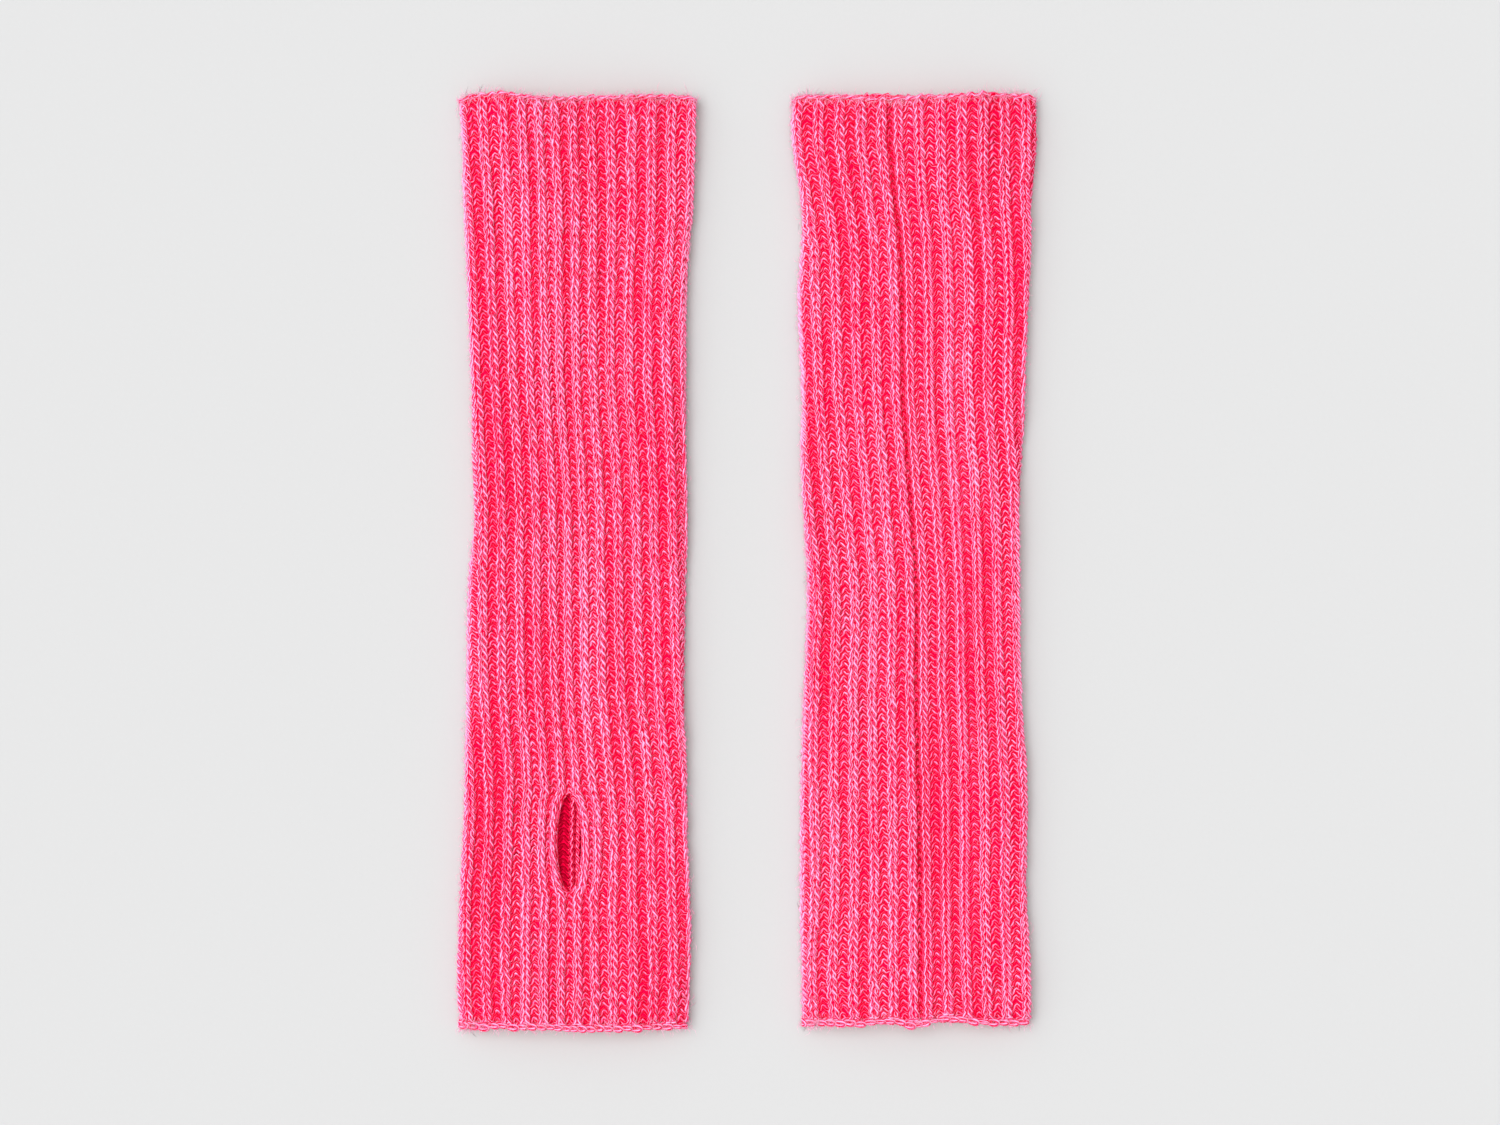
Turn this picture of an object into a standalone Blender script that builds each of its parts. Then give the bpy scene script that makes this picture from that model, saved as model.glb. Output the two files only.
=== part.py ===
"""A pair of rib-knit arm warmers, laid flat side by side.

Each warmer is a tube that one knitted panel makes: its two long edges meet in a seam along the
middle of one side, and the other side has a slit for the thumb. Laid flat, the tube is an under
side that rests on the table and an upper side that lies on it and turns down to it at both
folds. The left warmer shows its slit, the right one its seam.

Frame: metres, +Z up, the table at Z = 0, +Y along the warmers towards the arm end, the origin
below the middle of the pair. The tables and sizes below are in millimetres.
"""

import math

import bmesh
import bpy
import numpy as np

MM = 0.001

# The cloth
UNDER_WALL = 3.0  # thickness of the side that rests on the table
UPPER_WALL = 2.6  # thickness of the upper side in the valleys between its ribs
RIB_RISE = 1.6  # how far a rib's crest stands above the valleys
HOLLOW = 1.2  # between the two sides, along most of the length
SEAM_GAP = 0.3  # between two pieces that are joined
FOLD_DEPTH = 5.5  # from the outermost line of a fold to where the cloth is level
UNDER_FOLD_DEPTH = 4.0  # the same on the under side
SEAM_GROOVE_DEPTH = 0.5
SEAM_GROOVE_WIDTH = 1.6

# The ends gape: the upper side lifts off the under side in the middle of each mouth
GAPE_RISE = 3.7
GAPE_FLAT = 16.0  # lifted fully from the end to here
GAPE_REACH = 52.0  # and back down by here
GAPE_HALF_WIDTH = 25.0  # lifted fully this far to each side of the middle

# The thumb slit, measured from the hand end
SLIT_START = 61.5
SLIT_END = 106.0
SLIT_HALF_WIDTH = 5.5
SLIT_SPREAD = 6.5  # how far the ribs beside the slit are pushed aside

# Along the warmer
SECTION_STEP = 24.0
SLIT_STEPS = 7
WAVE_REACH = 14.0  # how far an end's waviness runs into the warmer

# Across a half of a side, from its middle line to the fold
COLUMNS_A_RIB = 4
COLUMNS_PAST_RIBS = 6
FOLD_COLUMNS = 4
INNER_SHARES = (0.0, 0.08, 0.2, 0.42, 0.7, 1.0)
REFERENCE_WIDTH = 100.0  # the width at which a rib has its stated pitch
MOST_RIBS = 20  # more than half of a side ever has
RIB_FADE = 2.5  # a rib sinks away over this distance from where the two sides meet
BEND_SAMPLES = 33  # angles at which a fold's path length is worked out
MERGE_DISTANCE = 1e-6  # in metres
SHARP_ANGLE = math.radians(50)

KNIT_COLOUR = (0.93, 0.066, 0.212, 1.0)
KNIT_ROUGHNESS = 0.9

SECTION_COLUMNS = ("up", "left", "right", "line")
# up: distance from the hand end. left, right: the two folds, from the warmer's own middle.
# line: the rib valley on the upper side that holds the slit or the seam.
LEFT_SECTIONS = (
    (0, -54.0, 50.0, -3.5),
    (15, -55.5, 50.5, -3.5),
    (45, -55.0, 51.5, -4.0),
    (85, -53.0, 50.0, -3.7),
    (110, -52.0, 49.5, -4.0),
    (150, -50.5, 49.0, -7.0),
    (200, -50.0, 49.0, -8.0),
    (230, -48.0, 49.5, -8.0),
    (265, -49.0, 49.0, -9.5),
    (290, -49.0, 49.0, -11.0),
    (335, -50.5, 49.5, -12.0),
    (375, -52.0, 52.5, -12.5),
    (400, -52.5, 54.0, -13.5),
    (420, -54.0, 54.5, -14.0),
)
RIGHT_SECTIONS = (
    (0, -53.5, 50.5, 0.5),
    (15, -54.0, 51.0, 0.0),
    (60, -54.0, 48.5, 0.0),
    (105, -54.0, 49.0, -0.5),
    (150, -53.0, 46.5, -1.5),
    (195, -51.5, 46.0, -1.5),
    (240, -54.0, 46.5, -4.5),
    (285, -53.5, 48.0, -7.5),
    (330, -55.0, 50.0, -8.0),
    (355, -54.0, 51.0, -9.0),
    (375, -55.0, 52.0, -11.5),
    (398, -58.0, 54.0, -13.5),
    (418.5, -58.0, 53.5, -13.5),
)

WAVE_COLUMNS = ("across", "hand_upper", "hand_under", "arm_upper", "arm_under")
# across: from the left fold, 0, to the right fold, 1. The others: how far each edge runs out
# past the warmer's length.
LEFT_WAVES = (
    (0.00, 0.4, 0.4, 0.2, 0.0),
    (0.15, 0.2, 0.0, 1.8, 0.6),
    (0.35, 0.3, 0.0, -0.6, 0.0),
    (0.60, 0.9, 0.4, -0.2, 0.2),
    (0.80, 0.8, 0.4, 0.3, 0.0),
    (1.00, 0.2, 0.2, 0.2, 0.0),
)
RIGHT_WAVES = (
    (0.00, 0.5, 0.3, 0.3, 0.0),
    (0.20, 0.3, 0.0, -0.2, 1.0),
    (0.40, -0.5, 0.0, -1.2, 1.4),
    (0.48, 0.6, 0.2, -0.6, 0.8),
    (0.62, -2.2, -0.8, 0.2, 0.2),
    (0.80, 0.0, 0.0, 1.2, 0.4),
    (1.00, 0.4, 0.2, 0.8, 0.0),
)

END_COLUMNS = ("in_from_end", "rib_share", "drop")
# How the upper side's outside changes near each end: how much of a rib's rise is left, and how
# far the surface lies below its usual height. At the hand end a bound-off chain edges the cloth,
# with a groove behind it. The arm end only rounds off.
HAND_END = (
    (0.0, 0.0, 1.0),
    (1.6, 0.2, 0.0),
    (3.4, 0.2, 0.0),
    (4.8, 0.0, 0.8),
    (7.0, 1.0, 0.0),
)
ARM_END = (
    (0.0, 0.3, 0.9),
    (1.5, 0.8, 0.2),
    (5.0, 1.0, 0.0),
)

WARMER_COLUMNS = (
    "name",
    "middle_x",
    "hand_end_y",
    "slit_is_on_top",
    "near_pitch",
    "far_pitch",
    "under_line_shift",
)
# The pitches are from one rib crest to the next, beside the middle line and further out.
# under_line_shift: how far to the right of the place opposite the upper side's line the under
# side has its own. The left warmer's seam doesn't show through its slit.
LEFT_WARMER = ("left", -76.25, -210.45, True, 7.0, 8.5, 5.7)
RIGHT_WARMER = ("right", 77.75, -208.85, False, 7.8, 8.7, 0.0)
RIBS_TO_FAR_PITCH = 3


class Row(dict):
    """A table's row, whose values are read by the names of their columns."""

    __getattr__ = dict.__getitem__


def named(columns, values):
    return Row(zip(columns, values, strict=True))


def column(table, columns, name):
    """One named column of a table, as an array."""
    return np.array([named(columns, row)[name] for row in table], float)


def smooth_step(share):
    share = np.clip(share, 0.0, 1.0)
    return share * share * (3.0 - 2.0 * share)


def smooth_curve(at, places, values):
    """A curve through the values that has no corners: a cubic between neighbours, whose slope at
    each one is the slope between the two beside it."""
    slopes = np.gradient(values, places)
    at = np.clip(at, places[0], places[-1])
    after = np.clip(np.searchsorted(places, at, side="right"), 1, len(places) - 1)
    before = after - 1
    span = places[after] - places[before]
    t = (at - places[before]) / span
    return (
        (2 * t**3 - 3 * t**2 + 1) * values[before]
        + (t**3 - 2 * t**2 + t) * span * slopes[before]
        + (3 * t**2 - 2 * t**3) * values[after]
        + (t**3 - t**2) * span * slopes[after]
    )


class Warmer:
    """The sizes of one warmer at any distance up from its hand end."""

    def __init__(self, warmer, sections, waves):
        self.row = named(WARMER_COLUMNS, warmer)
        self.length = float(sections[-1][0])
        self.sections = sections
        self.waves = waves
        self.stations = self.section_stations()

    def section_stations(self):
        """The distances up the warmer at which it has a section."""
        hand = column(HAND_END, END_COLUMNS, "in_from_end")
        arm = self.length - column(ARM_END, END_COLUMNS, "in_from_end")
        slit = np.linspace(SLIT_START, SLIT_END, SLIT_STEPS)
        lifted = np.array([GAPE_FLAT, GAPE_REACH])
        stops = np.sort(np.concatenate([hand, arm, slit, lifted, self.length - lifted]))
        between = [
            np.linspace(start, end, math.ceil((end - start) / SECTION_STEP) + 1)[1:-1]
            for start, end in zip(stops, stops[1:], strict=False)
        ]
        return np.sort(np.concatenate([stops, *between]))

    def at(self, name, up):
        """A column of the sections' table at these distances up."""
        places = column(self.sections, SECTION_COLUMNS, "up")
        return smooth_curve(up, places, column(self.sections, SECTION_COLUMNS, name))

    def line(self, up, upper):
        """Where a side's middle line runs. As the tube turns, the line moves one way on the upper
        side and the other way on the under side."""
        line = self.at("line", up)
        if upper:
            return line
        opposite = self.at("left", up) + self.at("right", up) - line
        return opposite + self.row.under_line_shift

    def wave(self, name, x, up):
        """How far an edge runs out at this place across."""
        left = self.at("left", up)
        across = (x - left) / (self.at("right", up) - left)
        places = column(self.waves, WAVE_COLUMNS, "across")
        return smooth_curve(across, places, column(self.waves, WAVE_COLUMNS, name))

    def along(self, x, up, side):
        """Where a point at x, up lies along the warmer, once both ends are made wavy. side is
        upper or under."""
        near_hand = 1.0 - smooth_step(up / WAVE_REACH)
        near_arm = 1.0 - smooth_step((self.length - up) / WAVE_REACH)
        hand = self.wave(f"hand_{side}", x, up)
        arm = self.wave(f"arm_{side}", x, up)
        return up - hand * near_hand + arm * near_arm

    def end_shape(self, name, up):
        """The rib share or the drop at these distances up, from the two ends' tables."""
        values = []
        for table, inwards in ((HAND_END, up), (ARM_END, self.length - up)):
            places = column(table, END_COLUMNS, "in_from_end")
            values.append(np.interp(inwards, places, column(table, END_COLUMNS, name)))
        return np.minimum(*values) if name == "rib_share" else np.maximum(*values)

    def gape(self, x, up):
        """How far the upper side lifts off the under side near a mouth."""
        inwards = np.minimum(up, self.length - up)
        along = 1.0 - smooth_step((inwards - GAPE_FLAT) / (GAPE_REACH - GAPE_FLAT))
        left = self.at("left", up)
        right = self.at("right", up)
        middle = (left + right) / 2
        level = (right - left) / 2 - FOLD_DEPTH
        out = (np.abs(x - middle) - GAPE_HALF_WIDTH) / (level - GAPE_HALF_WIDTH)
        return GAPE_RISE * along * (1.0 - smooth_step(out))

    def slit_half_width(self, up):
        """Half the slit's width, which is nothing at both its ends: half a sine wave."""
        share = np.clip((up - SLIT_START) / (SLIT_END - SLIT_START), 0.0, 1.0)
        return SLIT_HALF_WIDTH * np.sin(math.pi * share)

    def rib_ends(self, count):
        """The valleys' distances from the middle line, at the reference width: the ribs beside
        the line are narrower than those further out."""
        step = np.minimum(np.arange(count) / RIBS_TO_FAR_PITCH, 1.0)
        pitches = self.row.near_pitch + (self.row.far_pitch - self.row.near_pitch) * step
        return np.concatenate([[0.0], np.cumsum(pitches)])


def quarter_round(count):
    """Angles from level cloth, 0, to the outermost line of a fold, a right angle."""
    return np.linspace(0.0, math.pi / 2, count + 1)[1:]


def half_of_side(warmer, sign, upper, slit):
    """The outer and inner points of one half of a side, from its middle line to the fold.

    sign is -1 for the half on the left and 1 for the one on the right. Both results have a row
    for each section and a column for each place across, and hold x, y and z in millimetres.
    """
    up = warmer.stations[:, None]
    line = warmer.line(up, upper)
    edge = warmer.at("right" if sign > 0 else "left", up)
    reach = sign * (edge - line)
    start = warmer.slit_half_width(up) if slit else np.full_like(up, SEAM_GAP / 2)
    if upper:
        outer = upper_outside(warmer, sign, up, line, reach, start, slit)
        inner = upper_inside(warmer, sign, up, line, reach, start)
    else:
        outer = under_outside(sign, line, reach, start)
        inner = under_inside(sign, line, reach, start)
    side = "upper" if upper else "under"
    return [
        np.stack([x, warmer.along(x, np.broadcast_to(up, x.shape), side), z], axis=-1)
        for x, z in (outer, inner)
    ]


def upper_outside(warmer, sign, up, line, reach, start, slit):
    """The ribbed outside of the upper side.

    A point's path runs level from the middle line and then down a quarter of an ellipse. The
    rib's rise is a cosine of the path's length, so a rib keeps its width round the fold. Beside
    the slit the ribs are pushed aside, less and less with their distance from it.
    """
    parting = UNDER_WALL + SEAM_GAP
    valley = UNDER_WALL + HOLLOW + UPPER_WALL
    level = reach - FOLD_DEPTH
    bend = np.linspace(0.0, math.pi / 2, BEND_SAMPLES)
    fold_x = FOLD_DEPTH * np.sin(bend)
    fold_z = (valley - parting) * (1.0 - np.cos(bend))
    fold_run = np.concatenate([[0.0], np.cumsum(np.hypot(np.diff(fold_x), np.diff(fold_z)))])
    path_end = level + fold_run[-1]

    scale = (warmer.at("right", up) - warmer.at("left", up)) / REFERENCE_WIDTH
    ends = warmer.rib_ends(MOST_RIBS)
    room = np.min(path_end / scale)
    whole_ribs = int(np.searchsorted(ends, room, side="right")) - 1
    phase = np.arange(whole_ribs * COLUMNS_A_RIB + 1) / COLUMNS_A_RIB
    ribbed = np.interp(phase, np.arange(len(ends)), ends) * scale
    rest = np.linspace(0.0, 1.0, COLUMNS_PAST_RIBS + 1)[1:]
    last = ribbed[:, -1:]
    run = np.concatenate([ribbed, last + (path_end - last) * rest], axis=1)

    rib = np.interp(run / scale, ends, np.arange(len(ends)))
    pushed = start / (1.0 + (run / SLIT_SPREAD) ** 3) if slit else start * (run == 0.0)
    path = np.minimum(run + pushed, path_end)
    past_level = np.maximum(path - level, 0.0)
    turned = np.interp(past_level, fold_run, bend)
    x = np.minimum(path, level) + FOLD_DEPTH * np.sin(turned)
    z = valley - (valley - parting) * (1.0 - np.cos(turned))

    fade = smooth_step((path_end - path) / RIB_FADE)
    rise = RIB_RISE * (0.5 - 0.5 * np.cos(2 * math.pi * rib))
    rise = rise * warmer.end_shape("rib_share", up) - warmer.end_shape("drop", up)
    if not slit:
        rise = rise - SEAM_GROOVE_DEPTH * np.exp(-((path / SEAM_GROOVE_WIDTH) ** 2))
    rise = rise * fade
    across = line + sign * (x + rise * np.sin(turned))
    return across, z + rise * np.cos(turned) + warmer.gape(line + sign * x, up)


def upper_inside(warmer, sign, up, line, reach, start):
    """The plain inside of the upper side, one wall in from the valleys."""
    parting = UNDER_WALL + SEAM_GAP
    ceiling = UNDER_WALL + HOLLOW
    level = reach - FOLD_DEPTH
    turned = quarter_round(FOLD_COLUMNS)
    flat = start + (level - start) * np.array(INNER_SHARES)
    fold = level + (FOLD_DEPTH - UPPER_WALL) * np.sin(turned)
    x = np.concatenate([flat, fold], axis=1)
    z = np.concatenate(
        [
            np.full_like(flat, ceiling),
            np.broadcast_to(parting + (ceiling - parting) * np.cos(turned), fold.shape),
        ],
        axis=1,
    )
    x = line + sign * x
    return x, z + warmer.gape(x, up)


def under_outside(sign, line, reach, start):
    """The under side's flat bottom, which turns up at the fold."""
    level = reach - UNDER_FOLD_DEPTH
    turned = quarter_round(FOLD_COLUMNS)
    flat = start + (level - start) * np.array(INNER_SHARES)
    fold = level + UNDER_FOLD_DEPTH * np.sin(turned)
    x = np.concatenate([flat, fold], axis=1)
    z = np.concatenate(
        [
            np.zeros_like(flat),
            np.broadcast_to(UNDER_WALL * (1.0 - np.cos(turned)), fold.shape),
        ],
        axis=1,
    )
    return line + sign * x, z


def under_inside(sign, line, reach, start):
    """The under side's flat top."""
    x = start + (reach - start) * np.array(INNER_SHARES)
    return line + sign * x, np.full_like(x, UNDER_WALL)


def add_grid(bm, points):
    """A vertex for each point of a grid, as rows of vertices."""
    return [[bm.verts.new(point * MM) for point in row] for row in points]


def add_strip(bm, first, second):
    """Quads between two runs of vertices that lie side by side."""
    for a, b, c, d in zip(first, first[1:], second[1:], second, strict=False):
        bm.faces.new((a, b, c, d))


def add_half(bm, outer_points, inner_points, open_rows):
    """Closes the wall of one half: outside, inside, the edge at the fold, both end edges and,
    along the open rows, the edge at the middle line."""
    outer = add_grid(bm, outer_points)
    inner = add_grid(bm, inner_points)
    for grid in (outer, inner):
        for row, next_row in zip(grid, grid[1:], strict=False):
            add_strip(bm, row, next_row)
    add_strip(bm, [row[-1] for row in outer], [row[-1] for row in inner])
    start, end = open_rows
    add_strip(
        bm,
        [row[0] for row in outer[start : end + 1]],
        [row[0] for row in inner[start : end + 1]],
    )
    for row in (0, -1):
        bm.faces.new(outer[row] + inner[row][::-1])


def knit_material(name):
    """Wool rib in one bright dye."""
    material = bpy.data.materials.new(name)
    material.use_nodes = True
    shader = material.node_tree.nodes["Principled BSDF"]
    shader.inputs["Base Color"].default_value = KNIT_COLOUR
    shader.inputs["Roughness"].default_value = KNIT_ROUGHNESS
    shader.inputs["Metallic"].default_value = 0.0
    material.diffuse_color = KNIT_COLOUR
    return material


def add_piece(name, halves, open_rows, parent):
    """One closed piece of cloth, made of one half of a side or of both."""
    bm = bmesh.new()
    for outer, inner in halves:
        add_half(bm, outer, inner, open_rows)
    if len(halves) == 2:
        bmesh.ops.remove_doubles(bm, verts=bm.verts[:], dist=MERGE_DISTANCE)
    bmesh.ops.recalc_face_normals(bm, faces=bm.faces[:])
    mesh = bpy.data.meshes.new(name)
    bm.to_mesh(mesh)
    bm.free()
    mesh.shade_smooth()
    mesh.set_sharp_from_angle(angle=SHARP_ANGLE)
    mesh.materials.append(knit_material(f"{name}_knit"))
    piece = bpy.data.objects.new(name, mesh)
    piece.parent = parent
    bpy.context.scene.collection.objects.link(piece)


def add_slit_side(warmer, upper, parent):
    """The side with the thumb slit: both halves in one, apart along the slit."""
    first = int(np.argmin(np.abs(warmer.stations - SLIT_START)))
    last = int(np.argmin(np.abs(warmer.stations - SLIT_END)))
    halves = [half_of_side(warmer, sign, upper, slit=True) for sign in (-1, 1)]
    add_piece(f"{warmer.row.name}_slit_side", halves, (first, last), parent)


def add_seam_side(warmer, upper, parent):
    """The side with the seam: two pieces that meet along the middle line."""
    whole = (0, len(warmer.stations) - 1)
    for sign, place in ((-1, "a"), (1, "b")):
        half = half_of_side(warmer, sign, upper, slit=False)
        add_piece(f"{warmer.row.name}_seam_side_{place}", [half], whole, parent)


def add_warmer(values, sections, waves):
    warmer = Warmer(values, sections, waves)
    place = bpy.data.objects.new(f"{warmer.row.name}_warmer", None)
    place.location = (warmer.row.middle_x * MM, warmer.row.hand_end_y * MM, 0.0)
    bpy.context.scene.collection.objects.link(place)
    add_slit_side(warmer, warmer.row.slit_is_on_top, place)
    add_seam_side(warmer, not warmer.row.slit_is_on_top, place)


def main():
    for old in list(bpy.data.objects):
        bpy.data.objects.remove(old)
    add_warmer(LEFT_WARMER, LEFT_SECTIONS, LEFT_WAVES)
    add_warmer(RIGHT_WARMER, RIGHT_SECTIONS, RIGHT_WAVES)


main()
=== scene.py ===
"""The looks of a pair of rib-knit arm warmers, laid flat side by side and seen from above.

Each warmer is one knitted panel, sewn into a tube that lies flat. A place on the panel has two
measures: the distance across it in ribs, 0 at the thumb slit and 12 ribs to each side where the
seam joins its two long edges, and the distance up from the hand end in millimetres. on_tube()
says where that place is once the tube lies on the table. The cloth's ground is a thin shell
made from such places, and each course of yarn is a tube that runs through them.

Sizes are in millimetres, as in the part's source, and the meshes are in metres.
"""

import math

import bpy
import numpy as np
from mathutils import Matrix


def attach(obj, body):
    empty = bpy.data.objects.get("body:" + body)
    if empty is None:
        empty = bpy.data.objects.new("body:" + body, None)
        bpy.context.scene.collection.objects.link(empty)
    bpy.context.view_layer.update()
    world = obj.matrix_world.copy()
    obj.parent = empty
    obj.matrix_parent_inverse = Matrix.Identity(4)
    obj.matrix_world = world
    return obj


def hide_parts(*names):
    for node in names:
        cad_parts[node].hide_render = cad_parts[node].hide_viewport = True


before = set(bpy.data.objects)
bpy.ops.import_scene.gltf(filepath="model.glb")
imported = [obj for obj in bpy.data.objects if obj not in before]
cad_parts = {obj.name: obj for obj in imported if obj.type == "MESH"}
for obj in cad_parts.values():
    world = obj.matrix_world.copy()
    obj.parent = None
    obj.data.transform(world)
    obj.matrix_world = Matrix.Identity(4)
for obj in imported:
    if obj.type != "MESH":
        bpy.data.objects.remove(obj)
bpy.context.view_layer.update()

MM = 0.001
TINY = 1e-6

# The tube, with the part's own sizes, apart from the slit's width and the arm end's corners
TOP_VALLEY = 6.8  # height of the upper side in the valleys between its ribs
BOTTOM_VALLEY = 1.6  # the same on the under side, whose crests rest on the table
RIB_RISE = 1.6
UNDER_SHARE = 0.75  # the under side is pressed flatter: it has this share of the relief
FOLD_DEPTH = 5.5  # how wide a fold's half ellipse is
FOLD_INSET = 1.3  # the yarn stands out from the ground by this much at the folds
GAPE_RISE = 3.7  # how much further apart the sides lie in the middle of a mouth
GAPE_FLAT = 16.0  # it stays so this far in, and has gone at GAPE_REACH
GAPE_REACH = 52.0
GAPE_HALF_WIDTH = 25.0
SLIT_START = 61.5
SLIT_END = 106.0
SLIT_HALF_WIDTH = 6.0  # the part has 5.5, and here the yarn of its lips covers some of it
SLIT_ROUNDNESS = 0.45  # the lower, the blunter its ends
SLIT_SPREAD = 9.0  # how far the ribs beside it are pushed aside
SEAM_GROOVE_DEPTH = 0.9
SEAM_GROOVE_WIDTH = 1.8
SEAM_PAINTED_SHADE = 0.5  # painted shade: the colour is deeper down in the groove
SEAM_PULL = 0.8  # how far the seam pulls the crests beside it towards itself
SEAM_PULL_AT = 3.9  # their distance from it
WAVE_REACH = 14.0  # how far in from an end its waviness reaches
CORNER_DROP = 1.8  # the arm end's corners are rounded off by this much
CORNER_FROM = 0.9  # from this share of the half width outwards
REFERENCE_WIDTH = 100.0  # the width for which the ribs' pitches are given
RIBS_TO_FAR_PITCH = 3  # the pitch goes from the near one to the far one over this many ribs
HALF_PANEL = 12  # ribs from the slit to the seam
BEND_SAMPLES = 65

# The outline: the places of both folds and of the top's middle line, across from middle_x
SECTION_COLUMNS = ("up", "left", "right", "line")
LEFT_SECTIONS = (
    (0, -54.0, 50.0, -3.5),
    (15, -55.5, 50.5, -3.5),
    (45, -55.0, 51.5, -4.0),
    (85, -53.0, 50.0, -3.7),
    (110, -52.0, 49.5, -4.0),
    (150, -50.5, 49.0, -7.0),
    (200, -50.0, 49.0, -8.0),
    (230, -48.0, 49.5, -8.0),
    (265, -49.0, 49.0, -9.5),
    (290, -49.0, 49.0, -11.0),
    (335, -50.5, 49.5, -12.0),
    (375, -52.0, 52.5, -12.5),
    (400, -52.5, 54.0, -13.5),
    (420, -54.0, 54.5, -14.0),
)
RIGHT_SECTIONS = (
    (0, -53.5, 50.5, 0.5),
    (15, -54.0, 51.0, 0.0),
    (60, -54.0, 48.5, 0.0),
    (105, -54.0, 49.0, -0.5),
    (150, -53.0, 46.5, -1.5),
    (195, -51.5, 46.0, -1.5),
    (240, -54.0, 46.5, -4.5),
    (285, -53.5, 48.0, -7.5),
    (330, -55.0, 50.0, -8.0),
    (355, -54.0, 51.0, -9.0),
    (375, -55.0, 52.0, -11.5),
    (398, -58.0, 54.0, -13.5),
    (418.5, -58.0, 53.5, -13.5),
)
# How far both ends stand out at places across the warmer, for its upper and its under side
WAVE_COLUMNS = ("across", "hand_upper", "hand_under", "arm_upper", "arm_under")
LEFT_WAVES = (
    (0.00, 0.4, 0.4, 0.2, 0.0),
    (0.15, 0.2, 0.0, 1.8, 0.6),
    (0.35, 0.3, 0.0, -0.6, 0.0),
    (0.60, 0.9, 0.4, -0.2, 0.2),
    (0.80, 0.8, 0.4, 0.3, 0.0),
    (1.00, 0.2, 0.2, 0.2, 0.0),
)
RIGHT_WAVES = (
    (0.00, 0.5, 0.3, 0.3, 0.0),
    (0.20, 0.3, 0.0, -0.2, 1.0),
    (0.40, -0.5, 0.0, -1.2, 1.4),
    (0.48, 0.6, 0.2, -0.6, 0.8),
    (0.62, -2.2, -0.8, 0.2, 0.2),
    (0.80, 0.0, 0.0, 1.2, 0.4),
    (1.00, 0.4, 0.2, 0.8, 0.0),
)

# The yarn and its stitches
YARN_RADIUS = 0.87
DEEPEST = -1.7  # the yarn lies nowhere lower, except in the seam
# Painted light: how much paler the yarn is painted at the left and right folds, where the
# photograph is over-exposed, from where the cloth has turned this far sideways; more at the left,
# where the window is
FOLD_PAINTED_LIGHT = (1.3, 0.45)
FOLD_PAINTED_LIGHT_FROM = 0.4
VALLEY_FULLNESS = 1.3  # the yarn spreads where it crosses a valley
YARN_SIDES = 5
ROUND_SHADE = 0.36  # painted shade, deeper at a strand's sides than on its front
ROW_PITCH = 3.42
HAND_ROW = 0.8  # the last course's middle, from the hand end: the chain hides it
LOWEST_YARN = 3.7  # the lowest that its stitches reach
ARM_ROW = 4.2  # the first course's middle, from the arm end
KNIT_SHARE = 0.27  # half a crest column's width, in ribs
LOOP_HALF_HEIGHT = 2.95
CREST_SLANT = 0.55  # how far the two legs of a crest stitch lean apart
CREST_MIDDLE = -0.05  # height of a crest stitch's middle above the valleys
YARN_SWING = 0.82  # how far the yarn passes in front of and behind that middle
VALLEY_ARCH = 2.4  # how far the yarn arches up the warmer where it crosses a valley
LAST_ARCH = 0.2  # and in the course at the arm end
VALLEY_RISE = 0.15  # how much higher it is there than where it comes out from under a crest
FINE_CREST, FINE_VALLEY = 10, 6  # segments in a stitch that shows
PLAIN_CREST, PLAIN_VALLEY = 6, 3  # and in one underneath
TOP_RIBS = (6.8, 8.6)  # ribs that show from the top's middle line to the left and to the right
BANDS = 3  # pieces that a warmer's courses are divided into

# How uneven the stitches are: a random part for each one, a soft part, and the rows and half
# ribs over which the soft part changes
ACROSS_UNEVEN = (0.022, 0.03, 9, 2)  # in ribs
OUTWARDS_UNEVEN = (0.13, 0.15, 12, 3)
ALONG_UNEVEN = (0.2, 0.35, 8, 8)
FULLNESS_UNEVEN = 0.08  # as a share of a strand's radius
SHADE_UNEVEN = 0.14
SHADE_STEPS = (25, 2)

# The yarn's surface
PLIES = 4
PLY_STEP = 6.0  # from one ply to the next along the yarn: each winds round it in four times this
STREAK_LENGTH = 2.5
STREAKS_ROUND = 12
PLY_SHARE = 0.6  # what the plies and the dye add beside the fibres' streaks
DYE_SHARE = 0.5
MOTTLE_MEAN = 1.05  # the three together: half of each share, and half of 1 for the streaks
MOTTLE = 1.6  # how far they move the colour together
DEPTH_SHARE = 0.52  # and how far its depth in the knit does, as painted shade and light

# Scales of the patterns: 1000 divided by the size of their patches in millimetres
DYE_SCALE = 450.0  # 2.2 mm, two thirds of a stitch
FIBRE_DYE_SCALE = 400.0  # 2.5 mm, a fibre's length
FELT_SCALE = 900.0  # 1.1 mm, the felted pile of the inside
BOARD_SCALE = 600.0  # 1.7 mm, the stipple that a roller leaves

# How high the yarn's and the felt's relief stand, in metres
YARN_RELIEF = 0.0004
FELT_RELIEF = 0.0003

# The bound-off chain along the hand end
CHAIN_SAMPLES = 14
CHAIN_REACH = 0.28  # half a link's length, in ribs
CHAIN_UP = 1.8
CHAIN_WIDTH = 0.95  # half a link's width
CHAIN_LEAN = 0.5  # a link's head lies lower than its tail by twice this much
CHAIN_RISE = -0.1
CHAIN_TILT = 0.45
CHAIN_RADIUS = 0.95
CHAIN_PALER = 0.25  # painted light: its depth is raised by this much, so its colour is painted paler
CHAIN_ALONG_UNEVEN = 0.025  # in ribs
CHAIN_WIDTH_UNEVEN = 0.22  # as a share of it
CHAIN_UP_UNEVEN = 0.28

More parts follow.
